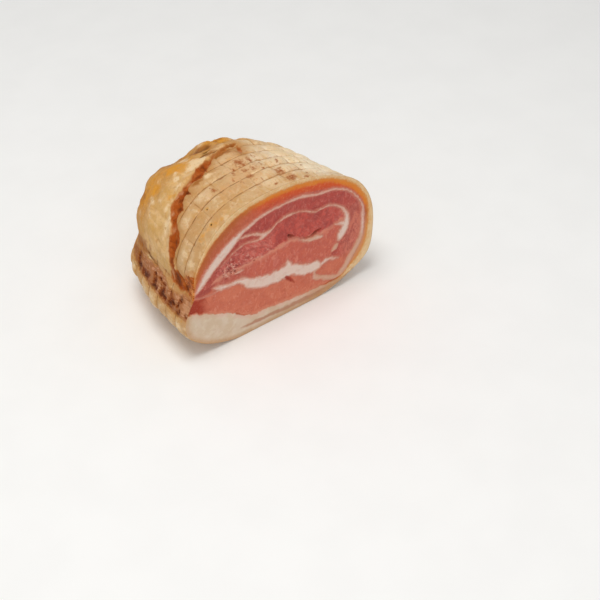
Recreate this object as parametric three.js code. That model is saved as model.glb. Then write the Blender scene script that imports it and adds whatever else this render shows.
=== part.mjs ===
// A rolled joint of cured pork belly, cut through so that its rolled layers show on one end.
// The belly was tied in an elastic net for smoking, and the net's rings and threads have left
// their print in the skin. The piece is one solid: skin, lean and fat are layers of one roll,
// so they are relief here, with the fat standing a little proud of the lean on the cut face.
//
// Millimetres, +Z up. The roll's axis runs along Y. The cut face looks along -Y and the rounded
// end along +Y. The origin is at the middle of the bounding box, on the surface it rests on.
//
// A place on the outside is given by its girth, the way round the section from the seam on the
// left, positive over the top, and by its depth, the way along the skin from the cut face.

import * as THREE from 'three';

// Driving sizes of the roll
const LENGTH = 110;
const CENTRE = new THREE.Vector3(-0.47, 54.76, 0);
const END_ROUNDING = 5.4;
const END_FLATNESS = 0.9;
const END_AXIS = new THREE.Vector2(-5, 36);
const TAPER = { right: 0.2, left: 0.075, top: 0.05 };
const SECTION_RADIUS = 62;
const SECTION_MIDDLE_HEIGHT = 52;
const RESTING_DEPTH = 1;

// The section at the cut, anticlockwise from the middle of the underside: x, z
const OUTLINE = [
  [0, 0], [34, 0.8], [58, 8], [77, 20.4], [81.4, 42], [78.4, 66.5], [66.6, 87], [44.6, 102], [15, 111.4],
  [-18, 112.6], [-42, 107], [-60, 92.5], [-71, 72.5], [-72.6, 55], [-79.5, 40], [-79.8, 26], [-66, 11],
  [-40, 1],
];
const SEAM = new THREE.Vector2(-72.6, 55);

// The print of the net: rings round the roll and threads along it
const RING_PITCH = 11.8;
const FIRST_RING = 11.4;
const RINGS = 12;
const RING_GROOVE = { width: 0.9, depth: 0.9, shoulder: 1.5 };
const THREADS = 24;
const THREAD_GROOVE = { width: 1.2, depth: 0.45, shoulder: 1.6 };
const PILLOW = 0.8;
const PRINT_SINKS = 0.45;

// The loose outer flap: its torn edge, along which lean shows, as girth, depth
const FLAP_EDGE = [
  [4, -6], [4, 8], [9, 19], [22, 28.5], [32, 33], [44, 40.5], [56, 45.5], [68, 49], [92, 56.6], [117, 61.5],
];
const FLAP_EDGE_GROOVE = { width: 3.2, depth: 2 };
const FLAP_SMOOTHNESS = 0.85;

// The bare strip of lean along the left flank, with a crease above it and pockets pressed into it
const STRIP = { from: -20.5, to: -0.5, end: 90, depth: 0.8 };
const CREASE = { girth: -0.5, width: 1.8, depth: 2.2 };
const POCKET = { girth: -13.5, depthAlong: 19, width: 4.2, depth: 1.1 };

// The fold across the top of the rounded end, and the gathers round its middle
const FOLD = { girth: 93, depthAlong: 64, reach: 7, width: 2.2, depth: 2.4 };
const GATHERS = { count: 14, from: 118, full: 140, depth: 1.2 };

// Broad swellings and hollows: girth, depth, reach round, reach along, height
const LUMPS = [
  [-31, 23, 17, 25, 2.4],
  [-31, 66, 14, 18, -0.5],
  [-8, 100, 12, 14, -0.8],
  [22, 88, 16, 22, -0.2],
  [54, 101, 16, 14, 3.2],
  [80, 90, 20, 15, -4.4],
  [104, 84, 8, 12, 1.6],
  [36, 62, 15, 13, 0.8],
  [58, 66, 12, 12, 0.6],
  [46, 82, 9, 9, -0.7],
  [142, 70, 26, 18, 0.7],
  [165, 60, 20, 10, -0.6],
  [175, 34, 20, 26, -1.8],
  [160, 100, 26, 16, -1.8],
  [200, 55, 20, 24, 1.2],
  [-200, 40, 18, 24, -1],
  [-180, 80, 24, 20, 1],
  [-60, 60, 26, 34, 0.8],
];

// Layers on the cut face as closed lines from the seam over the top: x, z, half thickness
const OUTER_FAT = [
  [-68.6, 58.2, 0.5], [-60, 69.4, 3.2], [-50, 78.2, 3.9], [-38, 86.6, 3.2], [-20, 95, 1.6], [4, 97.5, 1.3],
  [30, 92.6, 1.2], [48, 89, 1.2], [62, 78, 1.1], [70, 62, 1.4], [70.3, 42, 2], [60, 24, 2.6], [41, 9, 1.9],
  [12, 7.4, 2.4], [-18, 8.8, 4.2], [-42, 15, 7.5], [-60, 23.5, 10], [-70.5, 32, 5.4], [-73.6, 41.5, 0.5],
  [-69, 50, 0.4],
];
const INNER_FAT = [
  [-58, 56.5, 0.5], [-48, 71, 0.7], [-32, 79.5, 0.7], [-16, 80, 1.3], [2, 86, 1.2], [16, 84.5, 0.7],
  [28, 77.8, 0.8], [41, 77.6, 0.8], [52, 70, 1.2], [56, 59, 2.3], [52.6, 46, 3], [44, 33.6, 1.6],
  [28, 30.8, 4.2], [4, 41, 5.8], [-15, 41.4, 5], [-30, 48, 3], [-44, 52, 1.4], [-54, 54.4, 1.1],
];
const SKIN_THICKNESS = 1.5;
const CORE_MIDDLE = new THREE.Vector2(4, 62);
const FAT_STANDS = 0.5;
const LEAN_SINKS = 0.35;
const EDGE_SLOPE = 0.5;

const SAMPLES_PER_SPAN = 24;

// Points evenly spaced along a closed smooth line through all of its knots, with its length
function closedLine(knots, count) {
  const points = knots.map(([x, z, width = 0]) => new THREE.Vector3(x, z, width));
  const curve = new THREE.CatmullRomCurve3(points, true, 'centripetal');
  curve.arcLengthDivisions = knots.length * SAMPLES_PER_SPAN;
  const length = curve.getLength();
  const at = Array.from({ length: count }, (_, i) => curve.getPointAt(i / count).toArray());
  return { length, at };
}

const RIM_COUNT = 2400;
const rimLine = closedLine(OUTLINE, RIM_COUNT);
const GIRTH = rimLine.length;

// The rim as points that start at the seam and run clockwise over the top
const RIM = (() => {
  const points = rimLine.at.map(([x, z]) => new THREE.Vector2(x, z));
  const gaps = points.map((p) => p.distanceTo(SEAM));
  const seam = gaps.indexOf(Math.min(...gaps));
  return points.map((_, i) => points[(seam - i + RIM_COUNT) % RIM_COUNT]);
})();

function rimAt(girth) {
  const at = (THREE.MathUtils.euclideanModulo(girth, GIRTH) / GIRTH) * RIM_COUNT;
  const first = Math.floor(at) % RIM_COUNT;
  return RIM[first].clone().lerp(RIM[(first + 1) % RIM_COUNT], at - Math.floor(at));
}

const bell = (x, width) => Math.exp(-((x / width) ** 2));
const { smoothstep, clamp, lerp, euclideanModulo } = THREE.MathUtils;
const rise = (x, low, high) => (low < high ? smoothstep(x, low, high) : 1 - smoothstep(x, high, low));

// The roll's side from the cut face to the end's middle: how far back and how far in, by depth
const PROFILE_COUNT = 3000;
const PROFILE = (() => {
  const rows = [{ depth: 0, back: 0, scale: 1 }];
  for (let i = 1; i <= PROFILE_COUNT; i += 1) {
    const angle = (i / PROFILE_COUNT) * (Math.PI / 2);
    const back = Math.sin(angle) ** (2 / END_ROUNDING);
    const scale = Math.max(Math.cos(angle), 0) ** END_FLATNESS;
    const last = rows[i - 1];
    const step = Math.hypot((back - last.back) * LENGTH, (scale - last.scale) * SECTION_RADIUS);
    rows.push({ depth: last.depth + step, back, scale });
  }
  return rows;
})();
const FULL_DEPTH = PROFILE[PROFILE_COUNT].depth;

function profileAt(depth) {
  const wanted = clamp(depth, 0, FULL_DEPTH);
  let low = 0;
  let high = PROFILE_COUNT;
  while (high - low > 1) {
    const middle = (low + high) >> 1;
    if (PROFILE[middle].depth <= wanted) low = middle;
    else high = middle;
  }
  const share = (wanted - PROFILE[low].depth) / (PROFILE[high].depth - PROFILE[low].depth);
  return {
    back: lerp(PROFILE[low].back, PROFILE[high].back, share),
    scale: lerp(PROFILE[low].scale, PROFILE[high].scale, share),
  };
}

// The roll with no relief: its section drawn in towards the middle of the rounded end
function bareSkin(girth, depth) {
  const { back, scale } = profileAt(depth);
  const rim = rimAt(girth);
  const angle = Math.atan2(rim.y - SECTION_MIDDLE_HEIGHT, rim.x);
  const sideways = Math.cos(angle);
  const taper = TAPER.right * Math.max(sideways, 0) + TAPER.left * Math.max(-sideways, 0)
    + TAPER.top * Math.max(Math.sin(angle), 0);
  const drawnIn = scale * (1 - taper * back);
  const place = rim.sub(END_AXIS).multiplyScalar(drawnIn).add(END_AXIS);
  return new THREE.Vector3(place.x, LENGTH * back, place.y);
}

// Shortest way from a place on the skin to the flap's torn edge
function gapToFlapEdge(girth, depth) {
  const place = new THREE.Vector2(girth, depth);
  let gap = Infinity;
  for (let i = 1; i < FLAP_EDGE.length; i += 1) {
    const from = new THREE.Vector2(...FLAP_EDGE[i - 1]);
    const span = new THREE.Vector2(...FLAP_EDGE[i]).sub(from);
    const share = clamp(place.clone().sub(from).dot(span) / span.lengthSq(), 0, 1);
    gap = Math.min(gap, from.addScaledVector(span, share).distanceTo(place));
  }
  return gap;
}

function flapEdgeDepth(girth) {
  const after = FLAP_EDGE.findIndex(([edgeGirth], i) => i > 1 && edgeGirth >= girth);
  if (girth <= FLAP_EDGE[1][0]) return FLAP_EDGE[1][1];
  if (after < 0) return FLAP_EDGE[FLAP_EDGE.length - 1][1];
  const [lowGirth, lowDepth] = FLAP_EDGE[after - 1];
  const [highGirth, highDepth] = FLAP_EDGE[after];
  return lerp(lowDepth, highDepth, (girth - lowGirth) / (highGirth - lowGirth));
}

const aroundFrom = (girth, centre) => euclideanModulo(girth - centre + GIRTH / 2, GIRTH) - GIRTH / 2;
function gapToNearest(x, first, pitch) {
  return Math.abs(euclideanModulo(x - first + pitch / 2, pitch) - pitch / 2);
}

// Height of the net's print: cells that swell between sunk rings and threads
function netPrint(girth, depth) {
  const cell = GIRTH / THREADS;
  const toRing = gapToNearest(depth, FIRST_RING, RING_PITCH);
  const toThread = gapToNearest(girth, 0, cell);
  const swellAlong = 1 - (2 * toRing / RING_PITCH - 1) ** 2;
  const swellRound = 1 - (2 * toThread / cell - 1) ** 2;
  const swell = 0.6 * swellAlong + 0.4 * swellRound;
  const grooves = RING_GROOVE.depth * bell(toRing, RING_GROOVE.width)
    + THREAD_GROOVE.depth * bell(toThread, THREAD_GROOVE.width);
  return PILLOW * swell - PRINT_SINKS - grooves;
}

// Height of the skin over the bare roll
function relief(girth, depth) {
  const around = aroundFrom(girth, 0);
  let height = 0;
  for (const [atGirth, atDepth, reachRound, reachAlong, lump] of LUMPS) {
    height += lump * bell(aroundFrom(girth, atGirth), reachRound) * bell(depth - atDepth, reachAlong);
  }

  const beyondEdge = rise(depth - flapEdgeDepth(around), 2, 9);
  const flap = beyondEdge * rise(around, -2, 5) * rise(around, 118, 104) * rise(depth, 150, 120);
  const tornGroove = bell(gapToFlapEdge(around, depth), FLAP_EDGE_GROOVE.width);
  height += 0.5 * flap - FLAP_EDGE_GROOVE.depth * tornGroove;

  const stripEnd = rise(depth, STRIP.end + 6, STRIP.end - 6);
  const stripStart = rise(around, STRIP.from - 1.5, STRIP.from + 1.5);
  const strip = stripStart * rise(around, STRIP.to + 1, STRIP.to - 1) * stripEnd;
  const pocketPhase = ((depth - POCKET.depthAlong) / RING_PITCH) * 2 * Math.PI;
  const pocket = bell(around - POCKET.girth, POCKET.width) * (0.5 + 0.5 * Math.cos(pocketPhase));
  height -= strip * (STRIP.depth + POCKET.depth * pocket);
  height -= CREASE.depth * bell(around - CREASE.girth, CREASE.width) * stripEnd;

  const netted = (1 - FLAP_SMOOTHNESS * flap) * (1 - strip) * rise(depth, 150, 132);
  height += netted * netPrint(girth, depth);

  height -= FOLD.depth * bell(depth - FOLD.depthAlong, FOLD.width) * bell(around - FOLD.girth, FOLD.reach);
  const gatherPhase = (around / GIRTH) * 2 * Math.PI * GATHERS.count + 0.6 * Math.sin(around / 30);
  const gathered = rise(depth, GATHERS.from, GATHERS.full) * rise(depth, FULL_DEPTH, FULL_DEPTH - 5);
  height -= GATHERS.depth * gathered * (0.5 + 0.5 * Math.cos(gatherPhase));
  return height * rise(depth, -3, 7);
}

// The finished skin: relief added square to the bare roll, and the underside pressed flat
function skin(girth, depth) {
  const step = 0.5;
  const round = bareSkin(girth + step, depth).sub(bareSkin(girth - step, depth));
  const along = bareSkin(girth, depth + step).sub(bareSkin(girth, depth - step));
  const outward = round.cross(along).normalize();
  outward.y *= rise(depth, 0, 6);
  const place = bareSkin(girth, depth).addScaledVector(outward, relief(girth, depth));
  place.z = Math.max(place.z - RESTING_DEPTH, 0);
  return place;
}

// Girths of the mesh: every thread's groove, its two shoulders and the middle of the cell
function girthSteps() {
  const cell = GIRTH / THREADS;
  const shoulder = THREAD_GROOVE.shoulder;
  const steps = [];
  for (let i = 0; i < THREADS; i += 1) {
    steps.push(i * cell, i * cell + shoulder, (i + 0.5) * cell, (i + 1) * cell - shoulder);
  }
  return steps;
}

// Depths of the mesh: every ring's groove, its two shoulders and the middle of the band
function depthSteps() {
  const shoulder = RING_GROOVE.shoulder;
  const steps = [0, FIRST_RING / 2];
  for (let i = 0; i < RINGS; i += 1) {
    const ring = FIRST_RING + i * RING_PITCH;
    steps.push(ring - shoulder, ring, ring + shoulder, ring + RING_PITCH / 2);
  }
  return steps.filter((depth) => depth < FULL_DEPTH - 1.5);
}

// A closed line of the cut face at one share of the way round, moved square to itself
function layerEdge(line, share, outwards) {
  const count = line.at.length;
  const at = euclideanModulo(Math.round(share * count), count);
  const [x, z, width] = line.at[at];
  const [nextX, nextZ] = line.at[(at + 3) % count];
  const [lastX, lastZ] = line.at[(at - 3 + count) % count];
  const across = new THREE.Vector2(-(nextZ - lastZ), nextX - lastX).normalize();
  return new THREE.Vector2(x, z).addScaledVector(across, outwards(width));
}

// Rows of the cut face from the rim inwards, each as a place for a share of the way round
function faceRows() {
  const outer = closedLine(OUTER_FAT, RIM_COUNT);
  const inner = closedLine(INNER_FAT, RIM_COUNT);
  const skinEdge = (girth) => {
    const rim = rimAt(girth);
    const inwards = CORE_MIDDLE.clone().sub(rim).normalize();
    return rim.addScaledVector(inwards, SKIN_THICKNESS);
  };
  const rows = [{ place: skinEdge, height: 0 }];
  for (const line of [outer, inner]) {
    const edges = [
      [(width) => width + EDGE_SLOPE, -LEAN_SINKS],
      [(width) => width, FAT_STANDS],
      [(width) => -width, FAT_STANDS],
      [(width) => -width - EDGE_SLOPE, -LEAN_SINKS],
    ];
    for (const [outwards, height] of edges) {
      rows.push({ place: (girth) => layerEdge(line, girth / GIRTH, outwards), height });
    }
  }
  const innermost = rows[rows.length - 1].place;
  rows.push({ place: (girth) => innermost(girth).lerp(CORE_MIDDLE, 0.45), height: -LEAN_SINKS / 2 });
  return rows;
}

function rolledJoint() {
  const girths = girthSteps();
  const depths = depthSteps();
  const positions = [];
  const indices = [];
  const add = (place) => {
    positions.push(place.x - CENTRE.x, place.y - CENTRE.y, place.z);
    return positions.length / 3 - 1;
  };

  const skinRows = depths.map((depth) => girths.map((girth) => add(skin(girth, depth))));
  const cutRows = faceRows().map(({ place, height }) => girths.map((girth) => {
    const { x, y: z } = place(girth);
    return add(new THREE.Vector3(x, -height, Math.max(z - RESTING_DEPTH, SKIN_THICKNESS / 6)));
  }));

  const rows = [...cutRows.reverse(), ...skinRows];
  const count = girths.length;
  for (let row = 1; row < rows.length; row += 1) {
    for (let i = 0; i < count; i += 1) {
      const next = (i + 1) % count;
      const [a, b] = [rows[row - 1][i], rows[row - 1][next]];
      const [c, d] = [rows[row][i], rows[row][next]];
      indices.push(a, b, c, b, d, c);
    }
  }
  const faceMiddle = add(new THREE.Vector3(CORE_MIDDLE.x, LEAN_SINKS / 2, CORE_MIDDLE.y - RESTING_DEPTH));
  const endMiddle = add(skin(0, FULL_DEPTH));
  for (let i = 0; i < count; i += 1) {
    const next = (i + 1) % count;
    indices.push(faceMiddle, rows[0][next], rows[0][i]);
    indices.push(endMiddle, rows[rows.length - 1][i], rows[rows.length - 1][next]);
  }

  const geometry = new THREE.BufferGeometry();
  geometry.setAttribute('position', new THREE.Float32BufferAttribute(positions, 3));
  geometry.setIndex(indices);
  geometry.computeVertexNormals();
  return geometry;
}

const curedPork = new THREE.MeshStandardMaterial({ color: 0xd9b98a, roughness: 0.45, metalness: 0 });
const joint = new THREE.Mesh(rolledJoint(), curedPork);
joint.name = 'rolled_pork_belly';

const group = new THREE.Group();
group.add(joint);
export default group;
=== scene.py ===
"""A rolled joint of cured, smoked pork belly, cut through so that its rolled layers show on one end.

The joint is one closed surface. Its skin is worked out over girth, the way round the section from
the seam on the left, and depth, the way along the skin from the cut face. Its cut face is worked
out over the way round and the way in from the edge. Fat, lean and prints of the net are smooth
lines and patches in millimetres, kept on the mesh as distances that the materials read.
"""

import math
from functools import partial

import bpy
import numpy as np
from mathutils import Matrix, Vector


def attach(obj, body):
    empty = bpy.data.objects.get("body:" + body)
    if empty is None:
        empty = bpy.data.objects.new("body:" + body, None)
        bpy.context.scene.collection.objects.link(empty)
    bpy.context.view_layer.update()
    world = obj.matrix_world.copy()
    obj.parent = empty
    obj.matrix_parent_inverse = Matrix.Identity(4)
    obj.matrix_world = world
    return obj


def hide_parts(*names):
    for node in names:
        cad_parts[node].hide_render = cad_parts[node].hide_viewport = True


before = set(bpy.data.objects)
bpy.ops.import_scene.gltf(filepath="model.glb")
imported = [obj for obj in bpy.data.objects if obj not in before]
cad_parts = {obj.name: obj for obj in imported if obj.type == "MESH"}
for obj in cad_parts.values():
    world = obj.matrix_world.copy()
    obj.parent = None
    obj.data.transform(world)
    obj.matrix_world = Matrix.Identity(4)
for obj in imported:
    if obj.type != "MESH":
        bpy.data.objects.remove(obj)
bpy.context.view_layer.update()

MM = 0.001
PART = "rolled_pork_belly"

# Sizes of the roll in millimetres, the same as the solid's
LENGTH = 110.0
CENTRE = (-0.47, 54.76)
END_ROUNDING = 5.4
END_FLATNESS = 0.9
END_AXIS = np.array([-5.0, 36.0])
TAPER_RIGHT = 0.2
TAPER_LEFT = 0.075
TAPER_TOP = 0.05
SECTION_RADIUS = 62.0
SECTION_MIDDLE_HEIGHT = 52.0
RESTING_DEPTH = 1.0
SEAM = (-72.6, 55.0)
CORE_MIDDLE = np.array([4.0, 62.0])
EDGE_ROUNDING = 0.7

# The section at the cut, anticlockwise from the middle of the underside: x, z
OUTLINE = [
    (0, 0), (34, 0.8), (58, 8), (77, 20.4), (81.4, 42), (78.4, 66.5), (66.6, 87), (44.6, 102), (15, 111.4),
    (-18, 112.6), (-42, 107), (-60, 92.5), (-71, 72.5), (-72.6, 55), (-79.5, 40), (-79.8, 26), (-66, 11),
    (-40, 1),
]

# The print of the net: rings round the roll and threads along it
RING_PITCH = 11.8
FIRST_RING = 11.4
THREADS = 24
PILLOW = 1.2
PRINT_SINKS = 0.55
RING_GROOVE = (0.6, 0.8)
THREAD_GROOVE = (0.9, 0.5)

# How finely the surface is worked out: steps round, and offsets of the rows from each ring
STEPS_ROUND = 384
ROWS_FROM_RING = np.array([0, 0.5, 1.1, 1.9, 3.0, 4.4, 5.9, 7.4, 8.8, 9.9, 10.7, 11.3])
ROWS_ON_CUT = 100

# How finely the lines behind it are worked out, in points, and how large the tables of random values are
STEPS_BETWEEN_KNOTS = 32
RIM_POINTS = 3600
PROFILE_POINTS = 3001
LOOP_POINTS = 260
UNDER_FAT_POINTS = 200
NOISE_COLUMNS = 97
NOISE_ROWS = 89
OPEN_COLUMNS = 4096

# Depths and heights of the relief in millimetres, and how many gathers run to the rounded end
TORN_DEPTH = 1.2
STRIP_DEPTH = 0.6
POCKET_DEPTH = 1.1
FLAP_THICKNESS = 0.7
CREASE_DEPTH = 0.6
GATHERS = 14
GATHER_DEPTH = 1.7
CRACK_DEPTH = 1.7
FAT_STANDS = 0.4
LEAN_SINKS = 0.25

# The loose flap's torn edge, where lean shows as a chain of slots: girth, depth, half width
TORN_EDGE = [
    (-0.4, 28.2, 0.8), (1.4, 25, 3.4), (3.6, 21, 6), (2.8, 15, 5.2), (2.6, 10, 3.6),
]
TORN_CHAIN = [
    (4, 24.4, 2.6), (9, 24.6, 2.4), (14, 26.4, 2.2), (19, 28.4, 2.4), (22, 29.2, 3.2), (27, 29.4, 4.8),
    (30, 30, 4.6), (33, 33.2, 2.4), (36, 36, 1.9), (39, 38.6, 2.1), (42, 40.6, 3.2), (46.6, 42, 4.8),
    (49.4, 46, 1.8), (54, 46, 2.4), (58.8, 46.2, 2.4), (62, 48.4, 1.1), (66, 49, 1.1), (69, 49, 2.3),
    (73, 49.4, 3.8), (77, 51.4, 3.8), (81, 53.2, 3.3), (85.4, 54.6, 2.5), (89, 56.8, 1), (94, 58.4, 0.6),
    (99, 59.2, 0.7), (104, 60.4, 1), (110, 61.8, 1.2), (116, 63.4, 1.1),
]
TORN_HOOKS = [
    [(58.8, 46, 1.6), (59.2, 43.4, 1.7), (60, 40.6, 0.7)],
    [(81.2, 52, 1.4), (81, 49.6, 0.9), (80.8, 47.6, 0.3)],
    [(46, 41, 2.4), (47.7, 38.2, 1.6), (48, 36.8, 0.7)],
    [(52.6, 46, 1.8), (52.8, 43.6, 2.1)],
    [(115.4, 60, 1), (114, 56, 1.5), (111.6, 52, 1.4), (110, 49.4, 0.5)],
]
# Where the torn lean is dark, and light where the strength is below zero: girth, depth, reaches, strength
TORN_DARK = [
    (2, 19, 5, 4.4, 1), (5.6, 21, 2.6, 3, 0.6), (27.4, 28.4, 3.4, 3, 0.8), (46.8, 40, 2.6, 2.6, 0.9),
    (59.6, 43.8, 2, 3.2, 1.3), (52.8, 44.2, 2.4, 2, 1), (73, 49, 5, 2, 0.7), (81, 51, 1.2, 3.6, 0.9),
    (80, 55, 5, 1.2, 0.6), (13, 26, 5, 2, 0.8), (4, 26, 7, 1.8, -0.9), (1, 11.4, 3, 1.6, -0.3),
    (10, 23, 2, 2, -0.7), (42, 42.6, 3, 1.4, -0.7), (34, 35, 3.4, 1.6, -0.5), (54, 48, 6, 1, -1),
    (65, 49, 3, 1.2, -0.7), (86, 53, 3, 1.6, -0.8), (95, 58.6, 3.6, 1.4, -0.6), (112, 53, 3, 5, -0.6),
    (3.4, 8, 4, 1.8, 1.2), (8.6, 5, 3.2, 2, 1.2), (13.6, 6.4, 1.4, 2.6, 0.9), (3, 1.6, 4, 2, -0.9),
]
# The line of the flap's edge: girth, depth
FLAP_EDGE = [
    (4, 8), (9, 19), (22, 28.5), (32, 33.5), (44, 40.5), (56, 46), (68, 49.5), (92, 56.6), (117, 61.5),
]

# The bare strip of lean along the left flank and the crease above it, as lines. The dark patches where the
# net pressed into the strip have girth, depth and two reaches, and its pale patches have a strength too
STRIP = [
    (-9.6, -2, 8.8), (-10.2, 6, 9), (-12.6, 14, 7.8), (-13.8, 24, 6.6), (-12.8, 32, 7.4), (-10.8, 40, 8.8),
    (-11.6, 56, 7.8), (-11, 66, 7.4), (-10, 76, 5), (-9.5, 88, 1.5),
]
POCKETS = [
    (-15.6, 66, 4.6, 5.8), (-9, 69.8, 4, 2.4), (-15.6, 55, 4.6, 6.8), (-17, 42.4, 3.2, 4),
    (-15.2, 38.6, 2, 2), (-12.6, 43, 3.4, 2.6), (-14.4, 32, 6, 3.6), (-16.4, 28.6, 2.6, 4.2),
    (-16.6, 20.8, 4.2, 3.2), (-14, 17.6, 3, 3.4), (-19, 11, 2.2, 2.6), (-16.4, 8.8, 2.2, 1.4),
    (-12.4, 12, 3.2, 1.4), (-8.2, 11.6, 1.8, 2.4), (-5.4, 4, 2.4, 1.8), (-14.4, 1.6, 1.8, 1.8),
    (-8.2, 44.6, 1.4, 2.4), (-8, 37.4, 1, 3.2), (-9.4, 24, 1.6, 2.6),
]
STRIP_PALE = [
    (-9, 4, 7, 5, 1), (-5.6, 14, 3, 4, 0.8), (-10, 17, 3, 3, 0.6), (-13.6, 36.6, 5, 1.6, 1),
    (-8, 29, 3, 4, 0.6), (-13, 25.4, 5, 1.4, 0.6), (-15, 49, 3, 1.2, 0.7), (-6, 60, 2, 8, 0.5),
    (-11, 62, 2.4, 3, 0.5),
]
CREASE = [
    (-4.8, 35, 0.1), (-4.2, 38, 0.7), (-3.2, 42, 0.8), (-2.4, 47, 0.8), (-1.6, 52, 0.5), (-0.4, 57, 0.4),
    (1.2, 62, 0.1),
]

# Broad swellings and hollows: girth, depth, reach round, reach along, height
LUMPS = [
    (-31, 23, 17, 25, 1.2), (-31, 70, 14, 14, -1), (-11, 98, 12, 12, -2), (8, 92, 10, 10, -0.8),
    (22, 88, 16, 22, -0.2), (54, 101, 16, 14, 3.2), (80, 90, 20, 15, -4.4), (103, 85, 7, 12, 1.8),
    (107.6, 82, 1.9, 8, -2.8), (117, 78, 5, 9, 1.5), (127.6, 77, 3.4, 8, -1.6), (170, 18, 12, 14, -2.2),
    (36, 62, 15, 13, 0.8), (58, 66, 12, 12, 0.6), (46, 82, 9, 9, -0.7), (142, 70, 26, 18, 0.7),
    (165, 60, 20, 10, -0.6), (175, 34, 20, 26, -1.8), (160, 100, 26, 16, -1.8), (200, 55, 20, 24, 1.2),
    (-200, 40, 18, 24, -1), (-180, 80, 24, 20, 1), (-60, 60, 26, 34, 0.8),
]

# The fold where the flap's far end tucks under: girth, depth, reach round, reach along, depth of the hollow
FOLDS = [
    (90, 64.4, 4.6, 1, 1.5), (95.4, 61.4, 4.6, 0.9, 1.3), (93, 67.4, 4.4, 1.2, 1.6),
    (97, 72.4, 5, 2.2, 1.2), (91, 80, 2.6, 8, 1.2),
]

# Patches of the skin's colour, some of them painted light and shade: girth, depth, reach round, reach along,
# strength
OCHRE = [
    (41, 8, 6, 3.6, 0.5), (52, 6, 9, 4.6, 0.5), (67.6, 70.6, 7.6, 7.6, 1.3), (47, 69, 5, 5, 0.65),
    (51.4, 52, 4.6, 3, 0.75), (56, 84, 18, 9, 0.7), (34, 82, 9, 10, 0.9), (104, 82, 9, 8, 0.6),
    (79, 74, 6, 8, 0.4), (107, 61.6, 6, 2, 0.4), (24, 46, 4, 3, 0.4), (45, 76, 6, 5, 0.4),
    (88, 86, 8, 9, 0.5), (112, 74, 8, 8, 0.8), (140, 90, 20, 14, 0.5), (-60, 70, 24, 20, 0.6),
    (210, 60, 26, 26, 0.5), (-150, 90, 40, 20, 0.6), (-100, 30, 24, 14, 0.4), (79, 70, 5, 5, 0.4),
    (99, 52, 6, 4, 0.4), (-205, 14, 14, 8, 0.5),
]
# Cream patches: the rind's own cream, and on the flap painted wet highlights
CREAM_AND_GLINTS = [
    (38.4, 67, 4, 6, 1), (78, 42.6, 6, 2.6, 0.9), (94, 42, 5, 2.4, 0.5), (36, 42, 9, 4, 0.6),
    (34, 56, 4, 5, 0.4), (62, 59, 2.4, 2.2, 1.1), (86, 61, 4, 2.4, 1.3), (76, 58.6, 9, 2.6, 0.8),
    (64, 65, 3.6, 2.6, 0.8), (80, 62.4, 6, 4, 0.8), (52, 73, 3, 4, 0.5), (28, 42, 9, 4, 0.5),
    (12, 36, 4, 5, 0.5), (30, 62, 3, 4, 0.5), (42, 49.6, 6, 2.6, 0.9), (28, 52, 5, 3, 0.5),
    (58, 52.6, 6, 2, 0.8), (44, 60, 3.5, 4, 0.5), (-2.2, 57, 1.6, 7, 1.2), (-5.6, 22, 2.2, 9, 0.5),
    (140, 36, 20, 22, 0.8), (79, 77, 5, 10, 0.9), (100, 84, 5, 6, 0.7), (130, 60, 6, 5, 0.7),
    (20, 5, 9, 4, 0.4), (79, 36, 8, 4, 0.5), (-21, 76, 4, 5, 0.6), (42, 92, 3, 5, 0.4), (24, 80, 3, 6, 0.4),
    (112, 24, 9, 7, 0.4), (26, 14, 6, 8, 0.4), (62, 33, 8, 3, 0.4), (-26, 8, 4, 16, 0.6),
    (-24, 44, 3, 22, 0.4), (150, 58, 14, 12, 0.5), (-190, 60, 14, 12, 0.6), (-130, 60, 20, 14, 0.5),
    (-70, 30, 16, 18, 0.5), (102, 23, 3, 1.2, 1), (121, 15, 3, 4, 0.6),
]
# Brown patches: the smoked colour at the back and sides, and painted shade in the fold, above the strip's
# crease and under the flap's edge
SMOKE_AND_SHADE = [
    (93, 62.6, 5.4, 3.4, 1.1), (97, 56.8, 6, 2.4, 1), (97, 73, 4.6, 3, 1.4), (94, 82, 2.2, 7, 0.7),
    (89, 76, 5, 5.5, 1.2), (34, 84, 10, 8, 0.5), (3, 75, 7, 14, 0.8), (-2, 70, 5, 13, 0.7),
    (100, 67, 6, 4, 0.4), (114, 76, 9, 5, 0.45), (-12, 87, 7, 5, 0.5), (30, 91, 8, 5, 0.45),
    (4, 56, 4, 6, 0.5), (-1, 46, 3, 12, 0.5), (69, 43.6, 6, 2.6, 0.9), (108, 66, 8, 5, 0.4),
    (105, 57, 9, 4, 0.5), (109, 51, 5, 4, 0.5), (106, 32, 11, 8, 0.45), (69, 29, 6, 5, 0.4),
    (80, 96, 18, 7, 0.5), (60, 102, 20, 8, 0.5), (150, 114, 30, 12, 0.8), (-40, 112, 30, 12, 0.8),
    (-120, 114, 30, 12, 0.8), (-230, 110, 40, 14, 0.6), (8, 94, 10, 8, 0.5),
]
PEACH = [
    (98, 30, 14, 16, 0.9), (118, 12, 14, 10, 0.6), (80, 22, 16, 10, 0.5), (105, 46, 12, 7, 0.8),
    (66, 40, 10, 3, 0.4), (88, 48, 7, 3, 0.5), (44, 35.6, 12, 3, 0.6), (33, 27, 4, 6, 0.5),
    (66, 44, 5, 3, 0.7), (20, 4, 8, 4, 0.6), (12, 17, 3, 5, 0.7), (36, 14, 10, 5, 0.4),
    (100, 54, 8, 3, 0.6), (-19, 30, 4, 6, 0.4),
]
SKIN_PATCHES = {
    "torn_dark": TORN_DARK, "strip_pale": STRIP_PALE,
    "ochre": OCHRE, "cream_and_glint": CREAM_AND_GLINTS, "smoke_and_shade": SMOKE_AND_SHADE, "peach": PEACH,
}
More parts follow.
